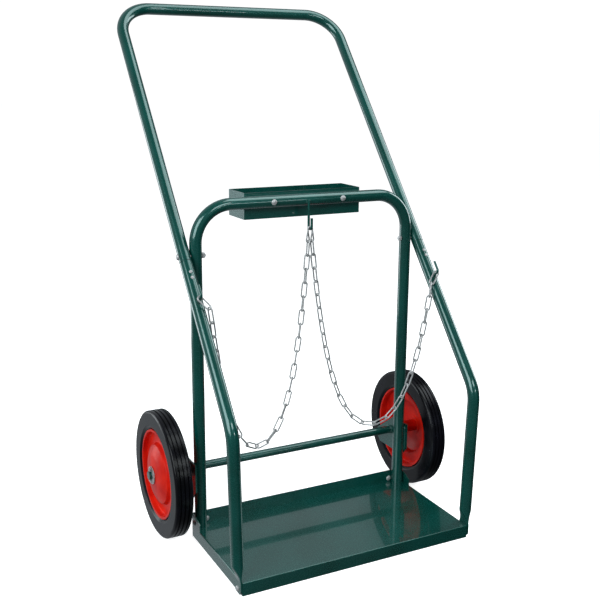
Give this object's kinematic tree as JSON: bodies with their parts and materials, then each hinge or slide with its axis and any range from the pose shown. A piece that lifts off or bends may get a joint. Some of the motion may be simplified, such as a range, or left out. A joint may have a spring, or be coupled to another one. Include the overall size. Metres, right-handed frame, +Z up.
{
  "type": "gas cylinder cart",
  "caption": "Two-wheeled welding gas cylinder cart with a bent tube frame, sloping push handle, folded sheet deck, tool tray and retaining chains.",
  "frame": {"origin": "on the ground, in the middle of the cart's length and width", "axes": "+X the cart's right seen from its front, +Y its back, +Z up; the cylinders are loaded from -Y"},
  "size_m": [0.678, 0.6593, 1.108],
  "materials": {
    "green_paint": "gloss",
    "red_paint": "gloss",
    "zinc_steel": "zinc plated",
    "dark_steel": "dull black",
    "tyre_rubber": "matte",
    "bush_nylon": "matte"
  },
  "bodies": {
    "cart": {"deck": "green_paint", "rear_frame": "green_paint", "left_leg_brace": "green_paint", "right_leg_brace": "green_paint", "handle": "green_paint", "tool_tray": "green_paint", "centre_hook": "green_paint", "left_side_hook": "green_paint", "right_side_hook": "green_paint", "left_axle_bracket": "green_paint", "right_axle_bracket": "green_paint", "axle": "green_paint", "outer_washers": "zinc_steel", "cotter_pins": "zinc_steel", "tray_bolts": "zinc_steel", "tray_nuts": "zinc_steel", "cross_bolts": "zinc_steel", "cross_nuts": "zinc_steel", "plug_screws": "zinc_steel", "flange_bolts": "zinc_steel", "flange_nuts": "zinc_steel", "ear_bolts": "zinc_steel", "leg_bolts": "zinc_steel", "leg_nuts": "zinc_steel", "inner_washers": "dark_steel", "wheel_spacers": "dark_steel"},
    "left_wheel": {"left_tyre": "tyre_rubber", "left_outer_disc": "red_paint", "left_inner_disc": "red_paint", "left_hub": "red_paint", "left_bushes": "bush_nylon"},
    "right_wheel": {"right_tyre": "tyre_rubber", "right_outer_disc": "red_paint", "right_inner_disc": "red_paint", "right_hub": "red_paint", "right_bushes": "bush_nylon"},
    "left_chain": {"left_chain": "zinc_steel"},
    "right_chain": {"right_chain": "zinc_steel"}
  },
  "joints": [
    {"name": "left_wheel_spin", "type": "hinge", "parent": "cart", "child": "left_wheel", "pos_m": [-0.306, -0.02022, 0.135], "axis": [1, 0, 0], "continuous": true},
    {"name": "right_wheel_spin", "type": "hinge", "parent": "cart", "child": "right_wheel", "pos_m": [0.306, -0.02022, 0.135], "axis": [1, 0, 0], "continuous": true},
    {"name": "left_chain_swing", "type": "hinge", "parent": "cart", "child": "left_chain", "pos_m": [-0.0025, -0.10132, 0.6503], "axis": [0.905, 0.2144, 0.3674], "range_deg": [-5, 4]},
    {"name": "right_chain_swing", "type": "hinge", "parent": "cart", "child": "right_chain", "pos_m": [-0.0025, -0.09772, 0.6503], "axis": [0.9057, -0.2225, -0.3609], "range_deg": [-5, 4]}
  ],
  "couplings": [
    {"joint": "left_chain_swing", "follows": "right_chain_swing", "ratio": 1}
  ]
}
